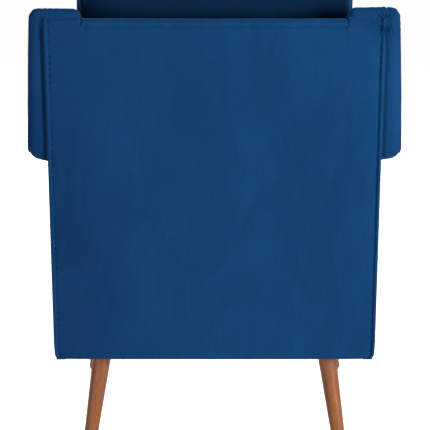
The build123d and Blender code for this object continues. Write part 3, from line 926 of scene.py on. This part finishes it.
def sew(piece, seed):
    """Grooves, ridges and puckers along the seams, and slow unevenness over the faces."""
    away = seam_distance(piece)
    x, y, z = vertex_places(piece).T
    puckers = waves(x * 75, y * 75, z * 75 + seed) * np.exp(-away / 0.014)
    groove = np.exp(-(away / 0.0021) ** 2)
    ridge = np.exp(-((away - 0.0052) / 0.0026) ** 2)
    slow = waves(x * 7, y * 7, z * 7 + seed) + 0.35 * waves(x * 21, y * 21, z * 21 + seed)
    swell(piece, -2.0 * mm * groove + 0.7 * mm * ridge + 1.3 * mm * puckers
          + 2.0 * mm * slow * np.clip(away / 0.03, 0, 1))


press_gap = 0.6 * mm               # a pressed face stays this far inside the cushion's box
zip_lip = 4.0 * mm                 # soft edge of the pocket that a zip lies in
zip_pocket = 3.1 * mm              # from the zip's face to the cloth behind its tape


def zip_frame(node):
    """A zip's reach along itself and across its tape, and a function that sets flat points in place.

    Flat points are along the zip, across it from its middle, and out from its face. The seat
    cushion's zip faces straight back, and the back cushion's faces down at the deck's slope.
    """
    faces_back = node == "seat_zip"
    along = (1.0, 0.0, 0.0)
    slope = math.atan(deck_fall)
    across = (0.0, 0.0, -1.0) if faces_back else (0.0, -math.cos(slope), math.sin(slope))
    out = (0.0, 1.0, 0.0) if faces_back else (0.0, -math.sin(slope), -math.cos(slope))
    axes = np.array([along, across, out])
    low, high = extent(node, axes)
    origin = np.array([0.0, (low[1] + high[1]) / 2, high[2]])
    return low, high, lambda points: (points + origin) @ axes


def let_in_zip(piece, node):
    """Lets a zip into its case: the cloth lies behind the tape, with a soft lip all round."""
    low, high, place = zip_frame(node)
    axes = place(np.eye(3)) - place(np.zeros((3, 3)))
    local = (vertex_places(piece) - place(np.zeros(3))) @ axes.T
    half_width = (high[1] - low[1]) / 2
    past = np.maximum(np.abs(local[:, 0]) - high[0], np.abs(local[:, 1]) - half_width)
    near = np.exp(-(np.clip(past, 0, None) / zip_lip) ** 2)
    sunk = near * np.minimum(-zip_pocket - local[:, 2], 0)
    place_vertices(piece, vertex_places(piece) + sunk[:, None] * axes[2])


def cushion(name, node, axes, seam_axis, seed):
    """A sewn case that fills the box of a frame node along its tilted axes, still in that frame."""
    low, high = extent(node, axes)
    case = swollen_case(name, high - low, seam_axis)
    refine(case)
    place_vertices(case, fitted(vertex_places(case), low, high))
    sew(case, seed)
    return case, low, high


def foam_block(name, node, axes, body):
    """The cushion's foam: a block with soft edges, a little smaller than its case."""
    low, high = extent(node, axes)
    size = high - low - 2 * foam_inset
    local, faces, _ = rounded_block([marks(length, 0.05, 0.01, 0.03) for length in size], foam_round)
    foam = mesh_piece(name, (local + low + foam_inset) @ axes, faces, foam_finish)
    keep_on(foam, node.replace("cover", "core"), body)
    return foam

# %% [markdown]
# ## Seat cushion
#
# The seat cushion is a boxed block, fullest in the middle of its top, with its front boxing facing the
# room. Its underside lies flat on the deck and its sides press against the arms.

# %% Seat cushion
def tilted(angle):
    """Axes turned about the chair's width: across, towards the back, and up."""
    c, s = math.cos(angle), math.sin(angle)
    return np.array([(1.0, 0.0, 0.0), (0.0, c, s), (0.0, -s, c)])


def to_chair(piece, axes):
    """Turns a piece from its tilted axes into the chair's."""
    place_vertices(piece, vertex_places(piece) @ axes)


deck_axes = tilted(-math.atan(deck_fall))
seat_crown = 3.0 * mm              # lift of the whole case above its box, before it is pressed
seat_rear_gap = 1.5 * mm           # its rear boxing stands this far off the inside back
sat_in = 3.0 * mm                  # the top is a little hollow where people sit


def make_seat_cushion():
    """The seat cushion's case, flat underneath and at its sides and rear."""
    axes = deck_axes
    case, low, high = cushion("seat_cushion", "seat_cushion_cover", axes, 2, 2.0)
    middle = (low + high) / 2
    p = (vertex_places(case) - middle) * (1.012, 1.006, 1.03) + middle
    p[:, 2] += seat_crown
    x = pressed(p[:, 0], low[0] + press_gap, 1)
    x = pressed(x, high[0] - press_gap, -1)
    y = pressed(p[:, 1], high[1] - seat_rear_gap, -1)
    z = pressed(p[:, 2], low[2] + press_gap, 1)
    sat = np.exp(-((p[:, 0] / 0.17) ** 2 + ((p[:, 1] - middle[1]) / 0.2) ** 2)) * (p[:, 2] > middle[2])
    place_vertices(case, np.stack([x, y, z - sat_in * sat], axis=-1))
    to_chair(case, axes)
    let_in_zip(case, "seat_zip")
    return case


seat_cushion = make_seat_cushion()
keep_on(seat_cushion, "seat_cushion_cover", "seat_cushion")
foam_block("seat_cushion_foam", "seat_cushion_cover", deck_axes, "seat_cushion")
print("seat cushion", len(seat_cushion.data.polygons), "faces")

# %% [markdown]
# ## Back cushion
#
# The back cushion stands on the seat cushion and leans on the inside back. Between the arms its sides
# are pressed flat. Above the arms nothing holds them, so the boxing bulges out past the arms' inner
# faces, which gives the cushion shoulders. Its rear panel gets a darker copy of the velvet with less sheen,
# painted shade for the shadow that the roll above the outside back casts on it.

# %% Back cushion
rear_painted_shade = 0.34                  # painted shade: share of the velvet's colour kept on the rear panel
# less sheen on the rear panel, part of the same painted shade
rear_painted_sheen = 0.05
shoulder = 11.0 * mm               # the cushion is this much wider above the arms, on each side
boxing_bulge = 9.0 * mm            # and its boxing is fuller still in the middle
foot_gap = 1.0 * mm                # between the seat cushion and this cushion's underside
free_from = 14.0 * mm              # below the arm's top, where the cushion starts to widen
free_over = 26.0 * mm              # height over which it reaches its full width
back_axes = tilted(-math.atan(lean))


def arm_top_z(y):
    """Height of an arm's upper face at this distance along the chair."""
    return between((y - front_y) / (plane_y(arm_rear_top_z) - front_y), arm_front_top_z, arm_rear_top_z)


def make_back_cushion():
    """The back cushion's case, flat behind and between the arms, and full above them."""
    axes = back_axes
    case, low, high = cushion("back_cushion", "back_cushion_cover", axes, 1, 6.0)
    middle = (low + high) / 2
    p = (vertex_places(case) - middle) * (1.012, 1.03, 1.004) + middle
    y = pressed(p[:, 1], high[1] - press_gap, -1)
    z = pressed(p[:, 2], low[2] + foot_gap, 1)
    in_chair = np.stack([p[:, 0], y, z], axis=-1) @ axes
    free = eased((in_chair[:, 2] - arm_top_z(in_chair[:, 1]) + free_from) / free_over)
    side_bound = high[0] - press_gap
    middle_share = 1 - ((y - middle[1]) / (0.5 * (high[1] - low[1]))) ** 2
    edge_share = np.clip((np.abs(p[:, 0]) / side_bound - 0.8) / 0.2, 0, 1) ** 2
    full = p[:, 0] * (1 + free * shoulder / side_bound)
    full += np.sign(full) * free * boxing_bulge * edge_share * np.clip(middle_share, 0, 1)
    bound = side_bound + free * (shoulder + boxing_bulge)
    x = pressed(pressed(full, bound, -1), -bound, 1)
    place_vertices(case, np.stack([x, y, z], axis=-1))
    to_chair(case, axes)
    let_in_zip(case, "back_zip")
    return case


def face_finish(piece, finish, way):
    """Gives a second finish to the faces that point this way, within about 45 degrees."""
    piece.data.materials.append(finish)
    for face in piece.data.polygons:
        face.material_index = int(face.normal.dot(way) > 0.7)


back_cushion = make_back_cushion()
# Painted shade: a darker, less sheeny copy of the velvet on the faces that point back, for the roll's shadow.
painted_shade_velvet = velvet("navy_velvet_painted_shade", [rear_painted_shade * c for c in velvet_deep],
                     [rear_painted_shade * c for c in velvet_bright], rear_painted_sheen)
face_finish(back_cushion, painted_shade_velvet, Vector(back_axes[1]))
keep_on(back_cushion, "back_cushion_cover", "back_cushion")
foam_block("back_cushion_foam", "back_cushion_cover", back_axes, "back_cushion")
print("back cushion", len(back_cushion.data.polygons), "faces")

# %% [markdown]
# ## Stained wood for the legs
#
# The legs are turned from a plain hardwood, stained a warm brown and given a satin lacquer. Grain runs
# down each leg as long, thin streaks that wander a little, with pores as short dark ticks. Stretching
# the noise along the leg gives both, and the lacquer is a thin clear coat over them.

# %% Wood finishes
def grained(name, dark, middle, light, streak, coat, rough):
    """Wood with its grain along the height of the object. streak is in streaks per metre."""
    made, tree, shader, place = new_finish(name)
    wander = cloudy(tree, stretched(tree, place, (streak, streak, 2.6)), 1.0, 4.0, 0.62, 1.2)
    pores = cloudy(tree, stretched(tree, place, (900.0, 900.0, 26.0)), 1.0, 2.0, 0.8)
    tone = cloudy(tree, place, 3.1, 2.0, 0.5)
    body = ramp(tree, wander, (0.28, dark), (0.5, middle), (0.74, light))
    pored = mixed(tree, "MULTIPLY", 1.0, body,
                  ramp(tree, pores, (0.30, (0.55, 0.48, 0.42)), (0.46, (1.0, 1.0, 1.0))))
    toned = mixed(tree, "MULTIPLY", 1.0, pored,
                  ramp(tree, tone, (0.3, (0.88, 0.86, 0.84)), (0.7, (1.08, 1.06, 1.04))))
    tree.links.new(toned, shader.inputs["Base Color"])
    tree.links.new(spread(tree, wander, rough - 0.08, rough + 0.10), shader.inputs["Roughness"])
    shader.inputs["Specular IOR Level"].default_value = 0.22
    shader.inputs["Coat Weight"].default_value = coat
    shader.inputs["Coat Roughness"].default_value = 0.28
    raised_by(tree, shader, (wander, 0.0004), (pores, 0.00015))
    return made


stained_wood = grained("stained_leg_wood", (0.125, 0.036, 0.009), (0.195, 0.060, 0.016),
                       (0.265, 0.088, 0.025), 90.0, 0.06, 0.50)
sawn_wood = grained("sawn_frame_wood", (0.42, 0.29, 0.16), (0.56, 0.41, 0.25),
                    (0.66, 0.51, 0.33), 60.0, 0.0, 0.78)
print("finishes", stained_wood.name, sawn_wood.name)

# %% [markdown]
# ## Metals, nylon, board and woven straps
#
# Plates, screws, staples and zip sliders are zinc plated, with a slightly cloudy bloom. The springs are
# darker, oiled wire. Glides are black moulded nylon. The card and the straps have their own weave or
# fibre. All of them are small graphs of the same kind, so one function makes the metals and another
# the woven goods.

# %% Small finishes
def metal(name, dark, light, rough):
    """Metal with a cloudy bloom and fine scratches."""
    made, tree, shader, place = new_finish(name)
    bloom = cloudy(tree, place, 85.0, 4.0, 0.65)
    scratches = cloudy(tree, stretched(tree, place, (700.0, 60.0, 60.0), (0.3, 0.5, 0.2)), 1.0, 2.0, 0.6)
    tree.links.new(ramp(tree, bloom, (0.3, dark), (0.7, light)), shader.inputs["Base Color"])
    shader.inputs["Metallic"].default_value = 1.0
    tree.links.new(spread(tree, bloom, rough - 0.10, rough + 0.14), shader.inputs["Roughness"])
    raised_by(tree, shader, (bloom, 0.0001), (scratches, 0.00005))
    return made


def woven(name, dark, light, threads, turn=(0.0, 0.0, 0.0)):
    """Plain weave: two crossed sets of fine bands, this many threads per metre."""
    made, tree, shader, place = new_finish(name)
    bands = []
    for axis in ("X", "Y"):
        wave = tree.nodes.new("ShaderNodeTexWave")
        wave.wave_type, wave.bands_direction = "BANDS", axis
        wave.inputs["Scale"].default_value = threads / 6.3
        wave.inputs["Distortion"].default_value = 0.6
        wave.inputs["Detail"].default_value = 1.0
        tree.links.new(stretched(tree, place, (1.0, 1.0, 1.0), turn), wave.inputs["Vector"])
        bands.append(wave.outputs["Fac"])
    fuzz = cloudy(tree, place, 400.0, 3.0, 0.7)
    weave = mixed(tree, "LIGHTEN", 1.0, ramp(tree, bands[0], (0.0, (0, 0, 0)), (1.0, (1, 1, 1))),
                  ramp(tree, bands[1], (0.0, (0, 0, 0)), (1.0, (1, 1, 1))))
    grey = tree.nodes.new("ShaderNodeRGBToBW")
    tree.links.new(weave, grey.inputs["Color"])
    colour = mixed(tree, "MULTIPLY", 1.0, ramp(tree, grey.outputs["Val"], (0.1, dark), (0.9, light)),
                   ramp(tree, fuzz, (0.3, (0.82, 0.82, 0.82)), (0.7, (1.0, 1.0, 1.0))))
    tree.links.new(colour, shader.inputs["Base Color"])
    tree.links.new(spread(tree, fuzz, 0.78, 0.94), shader.inputs["Roughness"])
    raised_by(tree, shader, (grey.outputs["Val"], 0.00025), (fuzz, 0.0001))
    return made


finishes = {
    "velvet": navy_velvet,
    "foam": foam_finish,
    "cloth": woven("lining_cloth", (0.010, 0.010, 0.011), (0.030, 0.030, 0.033), 900.0),
    "webbing": woven("elastic_webbing", (0.16, 0.10, 0.05), (0.38, 0.27, 0.15), 420.0, (0.16, 0.0, 0.0)),
    "leg_wood": stained_wood,
    "frame_wood": sawn_wood,
    "card": speckled_finish("grey_board", (0.34, 0.29, 0.23), (0.42, 0.36, 0.29), 14.0, 300.0, 0.0001, 0.88),
    "plated_steel": metal("zinc_plate", (0.46, 0.46, 0.44), (0.66, 0.66, 0.64), 0.36),
    "spring_steel": metal("oiled_spring_wire", (0.09, 0.09, 0.10), (0.20, 0.20, 0.21), 0.44),
    "glide_plastic": speckled_finish("black_nylon", (0.010, 0.010, 0.011), (0.018, 0.018, 0.020), 40.0, 900.0,
                                     0.00005, 0.42),
    "zip": woven("zip_tape", (0.004, 0.012, 0.040), (0.010, 0.028, 0.080), 1400.0, (math.pi / 2, 0.0, 0.0)),
}
print(len(finishes), "finishes by slot")

# %% [markdown]
# ## Finishes on the frame's own pieces
#
# Boards, legs, plates and springs keep the frame's exact shape and only need a finish. The record says
# which slot each piece belongs to, so one loop dresses them all.

# %% Dress the frame
for entry in frame["record"]["subparts"]:
    mesh = frame["nodes"][entry["node"]].data
    mesh.materials.clear()
    mesh.materials.append(finishes[entry["material_slot"]])

# %% [markdown]
# ## The dust cover
#
# A sheet of black non-woven cloth closes the underside. It is stapled round its edge and sags a little
# in the middle. The sag is so shallow that a formula does as well as a simulation here.

# %% Dust cover
dust_low, dust_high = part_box("dust_cover")
dust_flat = (dust_high.x - dust_low.x, dust_high.y - dust_low.y)
dust_sag = 5.0 * mm
dust_ripple = 0.8 * mm
dust_lift = 0.2 * mm               # the cloth's lower face, above the bottom of its box
dust_thick = 0.7 * mm


def make_dust_cover():
    """The cloth, with its sag and the small ripples between its staples."""
    x, y = np.meshgrid(marks(dust_flat[0], 0.02, 0.004, 0.011) + dust_low.x,
                       marks(dust_flat[1], 0.02, 0.004, 0.011) + dust_low.y)
    u = 2 * (x - dust_low.x) / dust_flat[0] - 1
    v = 2 * (y - dust_low.y) / dust_flat[1] - 1
    edge = np.minimum(1 - np.abs(u), 1 - np.abs(v))
    sag = dust_sag * (1 - u ** 2) * (1 - v ** 2)
    ripple = dust_ripple * waves(x * 26, y * 26) * np.exp(-edge / 0.18)
    z = dust_low.z + dust_lift - sag + ripple * np.clip(edge / 0.03, 0, 1)
    return closed_sheet("dust_cover_cloth", np.stack([x, y, z], axis=-1),
                        np.stack([x, y, z + dust_thick], axis=-1), finishes["cloth"])


dust_cover = make_dust_cover()
keep_on(dust_cover, "dust_cover")
print("dust cover cut to", [round(side, 3) for side in dust_flat])

# %% [markdown]
# ## Zips
#
# Each cushion case closes with a nylon coil zip, the seat cushion's in its rear boxing and the back
# cushion's underneath. The tape is a thin woven strip, and the coil is a row of small teeth down its
# middle, which are bent loops of one thread. Every tooth here is a small closed loop, so the coil reads
# as a coil when the slider passes. Both zips are built flat, then set in the plane of their own node.

# %% Zips
coil_pitch = 2.0 * mm
coil_half = 2.4 * mm               # half the coil's width
coil_wire = 0.55 * mm
coil_rise = 0.8 * mm               # half the coil's height
coil_depth = 0.9 * mm              # from the zip's face to the middle of the coil
coil_end = 3.0 * mm                # bare tape past the last tooth
tape_depth = 2.0 * mm              # from the zip's face to the tape
tape_thick = 0.9 * mm
stitch_line = 5.0 * mm             # the tape's raised stitching, from the middle of the zip
tooth_outline = [(-1.0, 0.0), (-0.35, 1.0), (0.35, 1.0), (1.0, 0.0), (0.35, -1.0), (-0.35, -1.0)]


def make_zip(node, body):
    """Tape and coil in the box of a zip's node."""
    low, high, place = zip_frame(node)
    width = high[1] - low[1]
    sides = len(tooth_outline)
    points, faces = [], []
    teeth = int((high[0] - low[0] - 2 * coil_end) / coil_pitch)
    for number in range(teeth):
        x = low[0] + coil_end + (number + 0.5) * coil_pitch
        start = len(points)
        for end in (-1, 1):
            for across, out in tooth_outline:
                points.append((x + coil_wire * end, across * coil_half, coil_rise * out - coil_depth))
        faces.append([start + i for i in range(sides)])
        faces.append([start + sides + i for i in range(sides)][::-1])
        faces += [(start + (i + 1) % sides, start + i, start + sides + i, start + sides + (i + 1) % sides)
                  for i in range(sides)]
    x, across = np.meshgrid(marks(high[0] - low[0], 0.004, 0.002, 0.012) + low[0],
                            marks(width, 0.003, 0.001, 0.002) - width / 2)
    stitches = 0.5 * mm * np.exp(-((np.abs(across) - stitch_line) / (1.2 * mm)) ** 2)
    face = np.stack([x, across, stitches - tape_depth], axis=-1)
    back = np.stack([x, across, np.full_like(x, -tape_depth - tape_thick)], axis=-1)
    tape = closed_sheet(node + "_tape", place(face), place(back), finishes["zip"])
    coil = mesh_piece(node + "_coil", place(np.array(points)), faces, finishes["zip"])
    for piece in (tape, coil):
        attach(piece, body)
    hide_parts(node)
    print(node, teeth, "teeth")


make_zip("seat_zip", "seat_cushion")
make_zip("back_zip", "back_cushion")

# %% [markdown]
# ## Floor
#
# The chair stands on a plain pale floor that runs far back, so that floor and background read as one
# white sheet.

# %% Floor
floor_reach = 80.0
floor_mesh = bpy.data.meshes.new("floor")
floor_mesh.from_pydata([(sx * floor_reach, sy * floor_reach, 0.0) for sx, sy in
                        ((-1, -1), (1, -1), (1, 1), (-1, 1))], [], [(0, 1, 2, 3)])
floor = add_object("floor", floor_mesh)
pale_floor = speckled_finish("pale_floor", (0.92, 0.92, 0.92), (0.95, 0.95, 0.95), 0.6, 60.0, 0.00005, 0.85)
floor_shader = pale_floor.node_tree.nodes["Principled BSDF"]
floor_shader.inputs["Emission Color"].default_value = (1.0, 1.0, 1.0, 1.0)
floor_shader.inputs["Emission Strength"].default_value = 0.86
floor_mesh.materials.append(pale_floor)
floor.visible_diffuse = False      # the lit floor itself doesn't light the chair
print("floor", 2 * floor_reach, "metres wide")

# %% [markdown]
# ## Light
#
# Velvet needs large, soft lamps: a small lamp would draw hard glints on the pile. The main lamp stands
# low behind the chair on the sitter's right, and a weaker one fills the other side. A third stands in
# front, and a faint one hangs above. Sizes are in metres and powers in watts.

# %% Light
chair_middle = Vector((0.0, 0.0, 0.45))
sky_strength = 0.13


def lamp(name, place, size, power):
    """A rectangular lamp that points at the middle of the chair."""
    light = bpy.data.lights.new(name, "AREA")
    light.shape = "RECTANGLE"
    light.size, light.size_y = size
    light.energy = power
    holder = add_object(name, light)
    holder.location = place
    holder.rotation_euler = (chair_middle - Vector(place)).to_track_quat("-Z", "Y").to_euler()


lamp("key", (-2.3, 2.4, 0.95), (1.4, 1.0), 160)
lamp("fill", (2.6, 3.8, 0.75), (2.2, 0.9), 100)
lamp("top", (0.0, 0.2, 3.6), (3.2, 3.2), 8)
lamp("front", (0.5, -3.6, 2.2), (3.0, 2.4), 130)
studio = bpy.data.worlds.new("studio")
studio.use_nodes = True
sky = studio.node_tree.nodes["Background"]
sky.inputs["Color"].default_value = (1.0, 1.0, 1.0, 1.0)
sky.inputs["Strength"].default_value = sky_strength
bpy.context.scene.world = studio
bpy.context.scene.view_settings.view_transform = "Standard"

# %% [markdown]
# ## Camera
#
# The chair is seen from straight behind and a little above, through a long lens, so its sides hardly
# converge. The camera is set out from the back's lower edge, and its pitch puts the feet low in view.

# %% Camera
camera_distance = 3.44             # level, behind the lower edge of the outside back
camera_height = 1.177
camera_pitch = math.radians(11.51)
camera_lens = 152.8                # millimetres, on a sensor 36 mm wide
camera_data = bpy.data.cameras.new("camera")
camera_data.lens = camera_lens
camera_data.sensor_width = 36.0
camera = add_object("camera", camera_data)
camera.location = (-1.0 * mm, rear_y + camera_distance, camera_height)
camera.rotation_euler = (math.pi / 2 - camera_pitch, 0.0, math.pi)
bpy.context.scene.camera = camera
print("camera at", [round(c, 3) for c in camera.location])
